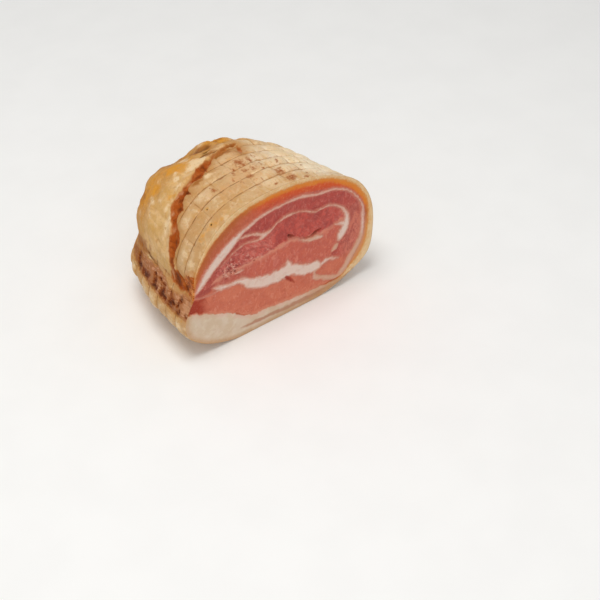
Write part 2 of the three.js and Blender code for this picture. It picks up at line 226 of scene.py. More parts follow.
# Dark flecks: girth, depth, reach round, reach along; and pores: girth, depth, reach
FLECKS = [
    (101.6, 39, 4.2, 5), (109, 38, 2, 3.8), (71.5, 28.6, 1.8, 3), (98, 22.2, 3, 2.4),
    (117.4, 15.4, 3.8, 4.6), (118.4, 4.6, 5, 4.4), (99.4, 30, 2, 2.6), (104.4, 28, 1.8, 3.8),
    (91, 32.4, 1.4, 2.6), (82, 34.4, 2.6, 1.2), (124, 27, 1.4, 2.6), (105.6, 3.8, 2, 1.6), (133, 6, 2, 1.4),
    (138, 18, 1.4, 1.6), (110.6, 24, 1.2, 2.4), (87, 26, 0.9, 1.8), (97, 9, 1, 3), (101, 13, 0.9, 2.6),
    (90, 20, 0.8, 2.4), (112, 30, 1.1, 2.4), (115, 42, 1.2, 2.6), (94, 36, 1, 2), (129, 1.5, 2.4, 1.2),
    (-150, 40, 1.6, 4), (205, 30, 1.6, 3.6), (-60, 50, 1.6, 3), (176, 70, 1.4, 3), (-110, 74, 1.6, 3.4),
]
PORES = [
    (59, 19.5, 0.95), (53, 7.3, 1), (60.5, 3.3, 0.85), (88, 17, 0.5), (47, 28, 0.5), (150, 44, 0.6),
    (-20.5, 4.5, 0.7), (-90, 20, 0.8), (-140, 64, 0.8), (190, 12, 0.8), (-215, 50, 0.7),
]

# Lines of fat on the cut face: x, z, half width
OUTER_FAT = [
    (-72, 56.2, 0.9), (-68, 60.4, 2.4), (-62, 67.4, 3.6), (-56, 73.2, 4.2), (-44, 82.8, 4.2),
    (-32, 90.8, 2.1), (-26, 92.8, 2), (-20, 95, 1.6), (-8, 97, 1.5), (4, 97.5, 1.2), (16, 96.6, 1.7),
    (28, 93, 1.4), (34, 91.8, 1.4), (46, 89.8, 1.2), (58, 82.8, 1.1), (63, 77, 1.1), (67, 71.6, 1.1),
    (70, 64, 1.4), (70.4, 56, 1.9), (69.8, 40, 2.2), (66, 32, 2.8), (60.4, 24.4, 3), (55.8, 18, 2.8),
    (51, 14, 2.2),
]
INNER_FAT = [
    (-50, 70, 0.3), (-36, 78.5, 0.7), (-28, 79.8, 0.8), (-20, 78.1, 1.1), (-15, 79.3, 2.1),
    (-10, 80.8, 1.3), (-4, 84, 0.9), (2, 85.8, 1.3), (15, 85, 0.8), (28, 78.7, 0.9), (34, 79, 0.9),
    (40, 78.5, 1), (49.5, 73.2, 1.2), (55.6, 64.5, 2.2), (56.2, 59, 2.9), (54.6, 53.5, 3.7),
    (51.8, 49, 4.1), (50, 45.8, 2.9),
]
BRANCH = [(-39, 87, 0.8), (-32, 85.9, 1.2), (-26, 85.2, 1.3), (-20.6, 83.2, 1.4), (-15.5, 80, 1.9)]
SPUR = [(46, 60, 0.9), (49.5, 59, 1.7), (53, 57, 2.4)]
ISLAND = [(44.2, 37.4, 1.2), (46, 39.2, 2.4), (47.6, 40.6, 1.8), (48.4, 41.6, 0.8)]
LOWER_STREAK = [
    (-57, 55, 0.8), (-54, 54, 1.9), (-50, 52.2, 2.4), (-44, 51.3, 2), (-38, 51.5, 2.4), (-34, 50.4, 2.9),
    (-26, 44.2, 4.9), (-20, 41.8, 5.7), (-12, 39.6, 5.6), (3, 38.7, 6.2), (8, 38.3, 5), (18, 33.2, 5.1),
    (24, 31.8, 4.9), (28.6, 30.8, 5.4), (33, 30.6, 2.3), (39, 31.6, 2.2), (50, 28.2, 0.6),
]
STREAK_PEAK = [(4.4, 43, 4.2), (4.2, 46.4, 2.6), (4, 49, 1)]
TIP_LINE = [(-72, 54, 0.3), (-66, 51.3, 0.5), (-60, 50.6, 0.6), (-52, 51.6, 0.9)]
LOWER_RIGHT_LINE = [
    (27, 25.4, 1.4), (28.4, 21.6, 2.4), (32, 19, 2.2), (43, 13.6, 2.2), (50, 12.8, 2), (56, 15, 1.8),
]
CRACK_SEAM = [
    (5, 66.2, 0.2), (12, 64, 0.4), (16, 60.8, 0.8), (20, 58.4, 1.6), (24, 57.4, 2.4), (31.4, 56.4, 2.3),
    (34, 55.4, 1),
]
PALE_FIBRES = [(-40, 59, 0.6), (-37, 59.2, 1.4), (-34, 59, 1), (-32, 58.4, 0.4)]
UNDER_FAT_TOP = [
    (-80, 42.6), (-70, 39), (-60, 34.4), (-44, 26.6), (-38, 21.6), (-26, 16), (-18, 15), (-8, 14),
    (2, 12.6), (12, 11.6), (25, 10.6), (38, 9.8), (50, 9.6), (62, 12),
]
UNDER_STREAK = [(-36, 9.4, 0.5), (-20, 8.4, 1.4), (-5, 7.4, 1.9), (10, 6.4, 2), (30, 5.6, 2), (48, 6.4, 1)]
CRACK = [
    (5.2, 69.4, 0.2), (6.6, 68.2, 1), (12, 64.9, -0.4), (16, 61.9, -0.3), (23.6, 60, 0.2), (30.4, 61, 0.8),
    (34, 61.4, 0.2),
]
TIP_LEAN = [(-72.4, 55.6, 0.9), (-67, 54.2, 1.8), (-61, 54.6, 1.9), (-56, 57, 0.8)]
SLIT = [(3, 34.2, 0.8), (5.6, 31.4, 1.2), (8, 28.6, 0.8), (10, 26, 0.2)]
CORE_LOOP = [
    (-58, 56), (-50, 68), (-40, 76), (-28, 79.8), (-15, 80), (4, 86.4), (15, 85), (28, 78.8), (40, 78.5),
    (49.5, 73), (55, 65), (56, 57), (48, 38), (40, 32), (28, 31), (15, 35), (0, 39), (-15, 41), (-28, 46),
    (-40, 52), (-52, 54),
]
ROLL_LOOP = [
    (-71, 56.6), (-52, 77.4), (-32, 91.4), (-8, 97.8), (15, 97.5), (40, 91), (56, 83), (67, 70), (71, 52),
    (68, 34), (58, 22), (46, 12), (20, 11), (-8, 14), (-26, 16), (-44, 26.6), (-60, 34.6), (-76, 42),
    (-74, 50),
]
CORE_DIVIDE = [
    (-60, 61), (-35, 62), (-29, 63), (-15, 62.6), (-4, 64), (5, 66), (13, 64.4), (18, 61), (34, 59),
    (50, 61), (60, 62),
]
# Torn fibres standing out of the cut, and the hollows between them: x, z, reach across, reach up
RAISED_FLAKES = [
    (-41.4, 72, 0.6, 1.5), (-41.8, 67.5, 1.2, 0.9), (-44.6, 66.8, 1.4, 0.7), (-46, 64.8, 0.9, 1),
    (-40.4, 65, 0.7, 1.3), (-40, 62.4, 0.7, 1.2), (-45.7, 61, 1, 0.7), (-45, 59.2, 1.3, 0.6),
    (-47.6, 62.4, 1, 0.7), (-49.4, 61.6, 0.8, 0.6), (-25.4, 64.7, 1.4, 0.6), (-20.4, 63.8, 1.6, 0.7),
    (-17.2, 62.3, 1.5, 0.6), (-35.4, 67.4, 0.9, 0.5), (-32, 71, 1.4, 0.5), (-28, 69, 1.2, 0.5),
    (-37.6, 74, 1.2, 0.5), (-22, 73, 1.2, 0.5), (-50, 66, 0.8, 0.6), (-43, 57.6, 1.2, 0.5),
    (-12, 66, 1.2, 0.5), (-30, 66, 0.8, 0.5),
]
SUNKEN_FLAKES = [
    (-42.8, 64, 1.4, 1.5), (-44.3, 62.6, 1.1, 0.9), (-41.6, 61, 1.2, 1), (-38.7, 61, 0.9, 1.1),
    (-47.6, 60, 0.9, 0.9), (-43, 69.7, 1, 1.1), (-36.6, 57.2, 1.6, 0.7), (-39.4, 68.6, 0.8, 0.8),
    (-48, 64.6, 0.8, 0.9), (-37, 64, 1.2, 0.7), (-27, 66.4, 1.4, 0.6), (-23, 62, 1.2, 0.6),
    (-46, 57.4, 1.2, 0.6), (-33, 74, 1, 0.5),
]
# The pale rind's width on the cut at places round it: girth, width
RIND_WIDTH = [
    (-222, 6.6), (-200, 8.4), (-179, 6), (-150, 2.4), (-80, 1.6), (-30, 1.4), (-16, 1), (-8, 1.1), (0, 0.7),
    (7, 1), (18, 2.2), (40, 4.1), (58, 5.8), (88, 4.7), (122, 4.3), (153, 3.5), (180, 3.7), (204, 4.3),
    (222, 5.6),
]


# Smooth lines, distances and noise

def between(start, end, s, low, high):
    """What lies at s on the straight way from start, which is at low, to end, which is at high."""
    return (start * (high - s) + end * (s - low)) / (high - low)


def smooth_line(knots, count, closed=False):
    """Points evenly spaced along a centripetal Catmull-Rom line through the knots, and its length."""
    p = np.array(knots, float)
    p = np.vstack([p[-1:], p, p[:2]]) if closed else np.vstack([2 * p[0] - p[1], p, 2 * p[-1] - p[-2]])
    runs = []
    for a, b, c, d in zip(p, p[1:], p[2:], p[3:]):
        spans = [max(np.linalg.norm((v - u)[:2]), 1e-6) ** 0.5 for u, v in ((a, b), (b, c), (c, d))]
        t = np.cumsum([0.0] + spans)
        s = np.linspace(t[1], t[2], STEPS_BETWEEN_KNOTS, endpoint=False)[:, None]
        ab = between(a, b, s, t[0], t[1])
        bc = between(b, c, s, t[1], t[2])
        cd = between(c, d, s, t[2], t[3])
        abc = between(ab, bc, s, t[0], t[2])
        bcd = between(bc, cd, s, t[1], t[3])
        runs.append(between(abc, bcd, s, t[1], t[2]))
    line = np.vstack(runs + [p[-2:-1]])
    along = np.concatenate([[0], np.cumsum(np.linalg.norm(np.diff(line[:, :2], axis=0), axis=1))])
    at = np.linspace(0, along[-1], count, endpoint=not closed)
    return np.stack([np.interp(at, along, column) for column in line.T], axis=1), along[-1]


def inside_line(u, v, knots):
    """How far a place lies inside a line of changing width: the half width there less the distance to it."""
    reach = np.ptp(np.array(knots)[:, :2], axis=0).sum()
    line = smooth_line(knots, max(24, int(2 * reach)))[0]
    best = np.full(np.shape(u), -1e9)
    for a, b, half in line:
        best = np.maximum(best, half - np.hypot(u - a, v - b))
    return best


def inside_loop(u, v, knots):
    """How far a place lies inside a closed loop, negative outside; inside is told by crossings along +u."""
    loop = smooth_line(knots, LOOP_POINTS, closed=True)[0]
    nearest = np.full(np.shape(u), 1e9)
    crossings = np.zeros(np.shape(u))
    for (a, b), (c, d) in zip(loop, np.roll(loop, -1, axis=0)):
        nearest = np.minimum(nearest, np.hypot(u - a, v - b))
        spans = (b > v) != (d > v)
        if b != d:
            crossings += spans & (u < a + (v - b) * (c - a) / (d - b))
    return np.where(crossings % 2 == 1, nearest, -nearest)


def rise(x, low, high):
    """A smooth step from 0 at low to 1 at high; it falls instead where high is the smaller."""
    t = np.clip((x - low) / (high - low), 0, 1)
    return t * t * (3 - 2 * t)


def bell(x, width):
    """A bell curve of height 1: e to the minus square of x over width."""
    return np.exp(-((x / width) ** 2))


def wander(u, v, size, seed, around=None):
    """Smooth noise from -1 to 1: random values on squares of that size, blended by smooth steps.

    It closes on itself after a length around, where one is given.
    """
    columns = max(1, round(around / size)) if around else OPEN_COLUMNS
    width = around / columns if around else size
    table = np.random.default_rng(seed).uniform(-1, 1, (min(columns, NOISE_COLUMNS), NOISE_ROWS))
    i = np.floor(u / width)
    j = np.floor(v / size)
    f = rise(u / width - i, 0, 1)
    g = rise(v / size - j, 0, 1)
    i0 = (i % columns).astype(int) % len(table)
    i1 = ((i + 1) % columns).astype(int) % len(table)
    j0 = j.astype(int) % NOISE_ROWS
    j1 = (j0 + 1) % NOISE_ROWS
    low = table[i0, j0] * (1 - f) + table[i1, j0] * f
    high = table[i0, j1] * (1 - f) + table[i1, j1] * f
    return low * (1 - g) + high * g


def cells(u, v, size, stretch, seed):
    """Irregular cells of about that size: how far a place is inside its cell's edge.

    Every box of a grid holds one point at a random place. The distance to the edge is half of how
    much further the next nearest point is than the nearest.
    """
    columns = round(GIRTH / size)
    width = GIRTH / columns
    held = np.random.default_rng(seed).uniform(0, 1, (columns, NOISE_ROWS, 2))
    i = np.floor(u / width)
    j = np.floor(v / (size * stretch))
    nearest = np.full(u.shape, 1e9)
    second = nearest.copy()
    for step_i in (-1, 0, 1):
        for step_j in (-1, 0, 1):
            column = ((i + step_i) % columns).astype(int)
            point = held[column, ((j + step_j) % NOISE_ROWS).astype(int)]
            across = (i + step_i + point[..., 0]) * width - u
            along = (j + step_j + point[..., 1]) * size - v / stretch
            far = np.hypot(across, along)
            second = np.where(far < nearest, nearest, np.minimum(second, far))
            nearest = np.minimum(nearest, far)
    return (second - nearest) / 2


def patches(u, v, rows):
    """The sum of soft oval patches: each a bell round and a bell along, times its strength."""
    total = np.zeros(np.shape(u))
    for at_u, at_v, reach_u, reach_v, strength in rows:
        total += strength * bell(around_from(u, at_u), reach_u) * bell(v - at_v, reach_v)
    return total


def spots(u, v, rows):
    """How far a place lies inside the nearest oval: 1 at its middle, 0 on its edge and below 0 outside."""
    best = np.full(np.shape(u), -9.0)
    for at_u, at_v, reach_u, reach_v in rows:
        best = np.maximum(best, 1 - np.hypot(around_from(u, at_u) / reach_u, (v - at_v) / reach_v))
    return best


# The skin

rim_line, GIRTH = smooth_line(OUTLINE, RIM_POINTS, closed=True)
first = np.argmin(np.hypot(rim_line[:, 0] - SEAM[0], rim_line[:, 1] - SEAM[1]))
RIM = rim_line[(first - np.arange(RIM_POINTS)) % RIM_POINTS]

PROFILE_ANGLE = np.linspace(0, math.pi / 2, PROFILE_POINTS)
PROFILE_BACK = np.sin(PROFILE_ANGLE) ** (2 / END_ROUNDING)
PROFILE_SCALE = np.maximum(np.cos(PROFILE_ANGLE), 0) ** END_FLATNESS
PROFILE_STEPS = np.hypot(np.diff(PROFILE_BACK) * LENGTH, np.diff(PROFILE_SCALE) * SECTION_RADIUS)
PROFILE_DEPTH = np.concatenate([[0], np.cumsum(PROFILE_STEPS)])
FULL_DEPTH = PROFILE_DEPTH[-1]


def around_from(girth, centre):
    """The way round from a centre, from minus half the girth to plus half."""
    return np.mod(girth - centre + GIRTH / 2, GIRTH) - GIRTH / 2


def rim_at(girth):
    """x and z of the cut's edge at a girth, between the two nearest points of the rim."""
    at = np.mod(girth, GIRTH) / GIRTH * len(RIM)
    low = np.floor(at).astype(int) % len(RIM)
    share = (at - np.floor(at))[..., None]
    return RIM[low] * (1 - share) + RIM[(low + 1) % len(RIM)] * share


def bare_skin(girth, depth):
    """The roll without relief: the rim drawn in towards the end's middle by a blunt oval profile.

    The roll also tapers towards its end, more on the right and the top.
    """
    back = np.interp(depth, PROFILE_DEPTH, PROFILE_BACK)
    scale = np.interp(depth, PROFILE_DEPTH, PROFILE_SCALE)
    rim = rim_at(girth)
    angle = np.arctan2(rim[..., 1] - SECTION_MIDDLE_HEIGHT, rim[..., 0])
    sideways = np.cos(angle)
    taper = TAPER_RIGHT * np.maximum(sideways, 0) + TAPER_LEFT * np.maximum(-sideways, 0)
    taper = taper + TAPER_TOP * np.maximum(np.sin(angle), 0)
    drawn_in = (scale * (1 - taper * back))[..., None]
    place = END_AXIS + drawn_in * (rim - END_AXIS)
    return np.stack([place[..., 0], LENGTH * back + 0 * girth, place[..., 1]], axis=-1)


def flap_edge_depth(girth):
    """Depth of the loose flap's edge at a girth, by straight lines between its points."""
    edge = np.array(FLAP_EDGE, float)
    return np.interp(girth, edge[:, 0], edge[:, 1])


def skin_fields(girth, depth, phase):
    """All that varies over the skin, by name: distances in mm, strengths from 0 to 1, and the relief."""
    def noise(size, seed):
        """Noise over the skin that closes on itself round the girth."""
        return wander(girth, depth, size, seed, GIRTH)

    around = around_from(girth, 0)
    shaken_g = around + 0.7 * noise(3.2, 11) + 0.45 * noise(1.5, 12)
    shaken_d = depth + 0.7 * noise(3.2, 13) + 0.45 * noise(1.5, 14)
    cell = GIRTH / THREADS
    f = {}

    slots = [inside_line(shaken_g, shaken_d, line) for line in [TORN_EDGE, TORN_CHAIN] + TORN_HOOKS]
    torn = np.maximum.reduce(slots)
    strip = inside_line(shaken_g, shaken_d, STRIP)
    bare = rise(strip, -0.8, 1.2)
    edge_in_cell = cells(shaken_g, shaken_d, 3.3, 1.2, 51)
    f["torn"] = torn
    f["strip"] = strip
    f["pocket"] = spots(shaken_g, shaken_d, POCKETS) + 0.25 * noise(2.2, 53)
    f["tip"] = 1 - np.hypot((shaken_g - 7.6) / 10.4, (shaken_d - 1) / 10)
    f["fleck"] = spots(shaken_g, shaken_d, FLECKS)
    f["pore"] = spots(around, depth, [(g, d, size, size) for g, d, size in PORES])
    for name, rows in SKIN_PATCHES.items():
        f[name] = patches(shaken_g, shaken_d, rows)

    beyond = depth - flap_edge_depth(around)
    strays = 15 * noise(21, 23) + 7 * noise(8, 24)
    strays = strays * rise(depth, 74, 96)
    flap = rise(beyond, 0.5, 3) * rise(around + 0.6 * strays, -2, 4) * rise(around + strays, 122, 105)
    flap = flap * rise(depth + strays, 124, 92)
    to_ring = np.abs(np.mod(phase - FIRST_RING + RING_PITCH / 2, RING_PITCH) - RING_PITCH / 2)
    drawn = girth + 2.4 * noise(24, 15) + 1.5 * noise(12, 25)
    to_thread = np.abs(np.mod(drawn + cell / 2, cell) - cell / 2)
    column = np.floor(drawn / cell).astype(int) % THREADS
    row = np.floor((phase - FIRST_RING) / RING_PITCH).astype(int) + 2
    tone = np.random.default_rng(26).uniform(-1, 1, (THREADS, 20))[column, row]
    tone = tone * rise(np.minimum(to_ring, to_thread), 0.3, 2.4) * rise(depth, 126, 96)
    pressed = (1 - bare) * rise(depth, 150, 132) * rise(torn, 1.5, -1.5) * rise(phase, 3, 8)
    netted = pressed * (1 - 0.88 * flap)
    plump = rise(np.abs(around_from(girth, 210)), 120, 74)
    plump = np.maximum(plump, 0.8 * rise(np.abs(around_from(girth, -110)), 98, 80))
    puffed = (0.6 + 0.9 * plump) * (1 + 0.35 * tone)
    swell = (1 - (2 * to_ring / RING_PITCH - 1) ** 2) * 0.6 + (1 - (2 * to_thread / cell - 1) ** 2) * 0.4
    f["flap"] = flap
    f["flap_rim"] = flap * bell(beyond - 4.5, 4.5)
    f["back"] = rise(depth, 48, 82)
    f["pale"] = (rise(around, 70, 118) + 0.5 * rise(around, 116, 146)) * rise(around, 222, 176)
    f["pale"] = f["pale"] * (1 - 0.75 * rise(depth, 46, 68)) * (1 - 0.3 * rise(depth, 9, 2))
    f["tone"] = tone * netted
    f["to_ring"] = to_ring
    f["to_thread"] = to_thread
    f["netted"] = netted
    # How far a place lies towards the middle of its pillow; the colour lightens the tops as painted
    # highlight and darkens the edges as painted shade
    f["swell"] = 0.5 + netted * (swell - 0.5) * puffed

    height = patches(girth, depth, LUMPS)
    height += flap * (FLAP_THICKNESS + 0.6 * bell(beyond - 3.2, 1.8))
    height -= rise(torn, -0.8, 1.2) * (TORN_DEPTH - 0.35 * rise(edge_in_cell, 0.5, 0))
    height -= 0.5 * bell(beyond + 0.6, 1.2) * rise(around, 6, 12) * rise(around, 116, 100)
    pocket = rise(f["pocket"], -0.3, 0.8)
    height -= bare * (STRIP_DEPTH + POCKET_DEPTH * pocket - 0.22 * rise(edge_in_cell, 0.6, 0))
    height += bare * (0.4 * noise(2.6, 16) + 0.3 * noise(1.4, 52))
    f["crease"] = rise(inside_line(shaken_g, shaken_d, CREASE), -0.9, 0.5)
    height -= CREASE_DEPTH * f["crease"]
    f["fold"] = patches(shaken_g, shaken_d - 0.1 * (around - 93), FOLDS)
    height -= f["fold"]
    broken = 0.7 + 0.3 * wander(girth, phase, 8, 18, GIRTH)
    grooves = RING_GROOVE[1] * broken * bell(to_ring, RING_GROOVE[0])
    grooves = grooves + THREAD_GROOVE[1] * broken * bell(to_thread, THREAD_GROOVE[0])
    height += pressed * (1 - 0.5 * flap) * (PILLOW * puffed * swell - PRINT_SINKS) - netted * grooves
    gather_phase = around / GIRTH * 2 * math.pi * GATHERS + 1.6 * noise(30, 27)
    gathered = rise(depth, 112, 138) * rise(depth, FULL_DEPTH, FULL_DEPTH - 5)
    gathered = gathered * (0.6 + 0.4 * noise(22, 28))
    height -= GATHER_DEPTH * gathered * (0.5 + 0.5 * np.cos(gather_phase)) ** 2
    height += (0.3 + 0.4 * flap) * noise(11, 19)
    height += (0.16 + 0.16 * flap) * noise(5, 20)
    height += (0.07 + 0.07 * flap) * noise(2.4, 21)
    height -= 0.4 * rise(f["pore"], -0.2, 0.6) + 0.25 * rise(f["fleck"], -0.1, 0.5)
    height += 0.45 * rise(f["tip"], 0, 0.5) * wander(girth * 1.6, depth, 2.6, 22, GIRTH)
    height = height * rise(depth, -3, 7)
    corner = np.clip(EDGE_ROUNDING - depth, 0, EDGE_ROUNDING)
    f["relief"] = height - EDGE_ROUNDING + np.sqrt(EDGE_ROUNDING ** 2 - corner ** 2)
    return f


def skin_places(girth, depth, relief):
    """The skin's points: the bare roll moved square to itself by the relief, and pressed flat underneath."""
    step = 0.5
    around = bare_skin(girth + step, depth) - bare_skin(girth - step, depth)
    ahead = bare_skin(girth, np.minimum(depth + step, FULL_DEPTH))
    along = ahead - bare_skin(girth, np.maximum(depth - step, 0))
    outward = np.cross(around, along)
    outward /= np.maximum(np.linalg.norm(outward, axis=-1, keepdims=True), 1e-9)
    outward[..., 1] *= rise(depth, 0, 6)
    outward[depth >= FULL_DEPTH] = (0, 1, 0)
    place = bare_skin(girth, depth) + outward * relief[..., None]
    place[..., 2] = np.maximum(place[..., 2] - RESTING_DEPTH, 0)
    return place


# The cut face

def cut_fields(x, z, from_rim, girth):
    """All that varies over the cut face, by name: distances in mm, strengths from 0 to 1, and the relief."""
    u = x + 0.65 * wander(x, z, 3.4, 31) + 0.35 * wander(x, z, 1.3, 32)
    v = z + 0.65 * wander(x, z, 3.4, 33) + 0.35 * wander(x, z, 1.3, 34)
    fine_u = x + 0.35 * wander(x, z, 1.6, 35)
    fine_v = z + 0.35 * wander(x, z, 1.6, 36)
    around = around_from(girth, 0)
    f = {}
    thin_lines = (OUTER_FAT, INNER_FAT, BRANCH, TIP_LINE, PALE_FIBRES)
    thin = [inside_line(fine_u, fine_v, line) for line in thin_lines]
    broad_lines = (LOWER_STREAK, STREAK_PEAK, ISLAND, SPUR, CRACK_SEAM, LOWER_RIGHT_LINE)
    broad = [inside_line(u, v, line) for line in broad_lines]
    under_top = smooth_line(UNDER_FAT_TOP, UNDER_FAT_POINTS)[0]
    f["fat"] = np.maximum.reduce(thin + broad)
    f["under_fat"] = np.minimum(np.interp(u, under_top[:, 0], under_top[:, 1]) - v, 66 - u)
    f["under_streak"] = inside_line(u, v, UNDER_STREAK)
    f["core"] = inside_loop(u, v, CORE_LOOP)
    f["roll"] = inside_loop(u, v, ROLL_LOOP)
    divide = np.array(CORE_DIVIDE, float)
    f["core_top"] = v - np.interp(u, divide[:, 0], divide[:, 1])
    streak = np.array(LOWER_STREAK, float)
    f["above_streak"] = v - np.interp(u, streak[:, 0], streak[:, 1])
    f["crack"] = inside_line(x, z, CRACK)
    f["slit"] = inside_line(x, z, SLIT)
    widths = np.array(RIND_WIDTH)
    level = 0 * girth
    scallops = 0.35 * wander(girth, level, 6, 42, GIRTH) + 0.25 * wander(girth, level, 2.6, 43, GIRTH)
    f["rind"] = np.interp(around, widths[:, 0], widths[:, 1]) + scallops - from_rim
    f["orange"] = rise(around, 40, 110) * rise(around, 224, 196) + 0.35 * bell(around - 10, 30)
    f["pale_side"] = rise(x, 48, 64) * rise(z, 68, 34)
    f["right"] = rise(x, 46, 60) * rise(z, 78, 60)
    f["left"] = rise(x, -14, -46)
    f["low_right"] = rise(x, 0, 36)
    faded_line = rise(x, 24, 30) * rise(z, 30, 26)
    faded_arc = rise(x, 54, 64) * rise(z, 50, 34)
    f["faded"] = np.maximum.reduce([faded_line, faded_arc, 0.9 * bell(np.hypot(x - 47, z - 39.6), 6)])
    f["faded"] = np.maximum(f["faded"], 0.7 * bell(np.hypot(x - 25, z - 58), 10))
    vague = 6 * rise(x, 30, 42)
    f["dark_core"] = rise(f["core_top"], -0.3 - vague, 1.4 + vague) * rise(x, -16, 6) * rise(x, 56, 40)
    f["corner"] = rise(u, -56, -71) * rise(f["under_fat"], 0.2, -1.2) * rise(v, 53.4, 49.4)
    f["tip_lean"] = inside_line(fine_u, fine_v, TIP_LEAN)
    f["flakes"] = 1 - np.hypot((x + 42) / 12, (z - 63.5) / 9)
    f["raised"] = spots(fine_u, fine_v, RAISED_FLAKES)
    f["sunken"] = spots(fine_u, fine_v, SUNKEN_FLAKES)
    f["top_lean"] = rise(f["core"], 0.5, -1.5) * rise(v, 60, 74)
    fat = rise(np.maximum(f["fat"], f["under_fat"]), -0.5, 0.5)
    height = FAT_STANDS * fat - LEAN_SINKS * (1 - fat)
    height += 0.3 * wander(x, z, 17, 37) + 0.16 * wander(x, z, 5, 38) * (1 - 0.6 * fat)
    height -= CRACK_DEPTH * rise(f["crack"], -0.8, 1.1)
    height += 0.35 * rise(f["raised"], -0.2, 0.6) - 0.5 * rise(f["sunken"], -0.2, 0.7)
    lip = rise(f["core_top"], 0.6, -0.6) * rise(f["core_top"], -9, -1) * rise(x, -8, 2) * rise(x, 38, 30)
    height += 0.8 * lip
    height -= 0.8 * rise(f["slit"], -0.4, 0.8) + 0.7 * f["corner"]
    height += rise(f["flakes"], 0, 0.5) * 0.6 * wander(x, z, 2.8, 39)
    height += 0.35 * rise(f["rind"], -0.4, 0.8) + 0.12 * wander(x, z, 2.4, 40)
    f["cut_relief"] = height * rise(from_rim, EDGE_ROUNDING, EDGE_ROUNDING + 1.2)
    return f


def joint_surface():
    """The joint as rows of points: the cut face from its middle out, then the skin to the rounded end."""
    girth = np.arange(STEPS_ROUND) * GIRTH / STEPS_ROUND
    rings = FIRST_RING + RING_PITCH * np.arange(-1, 14)
    phase = np.sort((rings[:, None] + ROWS_FROM_RING).ravel())
    phase = phase[(phase > EDGE_ROUNDING) & (phase < FULL_DEPTH - 0.6)]
    phase = np.concatenate([EDGE_ROUNDING * np.array([0, 0.14, 0.45, 0.9]), phase, [FULL_DEPTH]])
    G, P = np.meshgrid(girth, phase)
    cell = GIRTH / THREADS
    arch = 1 - (2 * np.mod(G, cell) / cell - 1) ** 2
    arched = 0.9 * (1 - arch) * rise(np.abs(around_from(G, 175)), 90, 60)
    arched = arched + 0.8 * (1 - arch) * rise(np.abs(around_from(G, -110)), 98, 76)
    sway = (0.9 * wander(G, P, 34, 41, GIRTH) + arched) * rise(P, 3, 10) * rise(P, FULL_DEPTH, 120)
    D = np.clip(P + sway, 0, FULL_DEPTH)
    skin = skin_fields(G, D, P)
    relief = skin.pop("relief")
    skin_rows = skin_places(G, D, relief)
    # How far the relief lies below its blurred neighbourhood; the skin's colour darkens it as painted shade
    # in the hollows
    smoothed = relief
    for shift in (1, 2):
        smoothed = (smoothed + np.roll(smoothed, shift, axis=1) + np.roll(smoothed, -shift, axis=1)) / 3
        padded = np.pad(smoothed, ((shift, shift), (0, 0)), mode="edge")
        smoothed = (smoothed + padded[2 * shift:] + padded[:-2 * shift]) / 3
    skin["hollow"] = smoothed - relief

    rim = skin_rows[0][:, [0, 2]]
    middle = CORE_MIDDLE - (0, RESTING_DEPTH)
    share = (np.arange(ROWS_ON_CUT) / ROWS_ON_CUT)[:, None, None]
    flat = middle + share * (rim - middle)
    way_in = np.linalg.norm(rim - middle, axis=1)
    slope = np.roll(rim, -1, axis=0) - np.roll(rim, 1, axis=0)
    square = np.abs(slope[:, 0] * (rim - middle)[:, 1] - slope[:, 1] * (rim - middle)[:, 0])
    square /= np.linalg.norm(slope, axis=1) * way_in
    from_rim = (1 - share[..., 0]) * way_in * square + EDGE_ROUNDING
    X = flat[..., 0]
    Z = flat[..., 1] + RESTING_DEPTH
    cut = cut_fields(X, Z, from_rim, np.broadcast_to(girth, X.shape))
    cut_rows = np.stack([X, -cut.pop("cut_relief"), flat[..., 1]], axis=-1)
    return skin_rows, skin, cut_rows, cut


def closed_mesh(name, skin_rows, skin, cut_rows, cut):
    """One closed mesh of both grids, which share the rim's row; a single point closes each middle."""
    cut_body = cut_rows[1:]
    skin_body = skin_rows[:-1]
    points = [cut_rows[0][:1], cut_body.reshape(-1, 3), skin_body.reshape(-1, 3), skin_rows[-1][:1]]
    points = (np.vstack(points) - (CENTRE[0], CENTRE[1], 0)) * MM
    rows = len(cut_body) + len(skin_body)
    grid = 1 + np.arange(rows * STEPS_ROUND).reshape(rows, STEPS_ROUND)
    after = np.roll(grid, -1, axis=1)
    quads = np.stack([grid[:-1], after[:-1], after[1:], grid[1:]], axis=-1).reshape(-1, 4)
    first_fan = np.stack([np.zeros(STEPS_ROUND, int), after[0], grid[0]], axis=-1)
    last_fan = np.stack([np.full(STEPS_ROUND, len(points) - 1), grid[-1], after[-1]], axis=-1)

    mesh = bpy.data.meshes.new(name)
    mesh.from_pydata(points.tolist(), [], quads.tolist() + first_fan.tolist() + last_fan.tolist())
    quad_row = np.repeat(np.arange(rows - 1), STEPS_ROUND)
    fans = [np.zeros(STEPS_ROUND, bool), np.ones(STEPS_ROUND, bool)]
    on_skin = np.concatenate([quad_row >= len(cut_body)] + fans)
    mesh.polygons.foreach_set("material_index", np.where(on_skin, 0, 1).astype(np.int32))
    mesh.polygons.foreach_set("use_smooth", np.ones(len(mesh.polygons), bool))

    kept = {}
    for field, values in skin.items():
        kept[field] = [np.zeros(1 + cut_body[..., 0].size), values[:-1].ravel(), values[-1][:1]]
    for field, values in cut.items():
        edge = values[-1]
        kept[field] = [values[0][:1], values[1:].ravel(), np.tile(edge, len(skin_body)), edge[:1]]
    for field, values in kept.items():
        held = mesh.attributes.new(field, "FLOAT", "POINT")
        held.data.foreach_set("value", np.concatenate(values).astype(np.float32))
    mesh.update()
    return mesh


# Materials

def linear(colour):
    """An sRGB hex colour as linear red, green, blue and 1."""
    values = [int(colour[i:i + 2], 16) / 255 for i in (1, 3, 5)]
    return [v / 12.92 if v <= 0.04045 else ((v + 0.055) / 1.055) ** 2.4 for v in values] + [1.0]


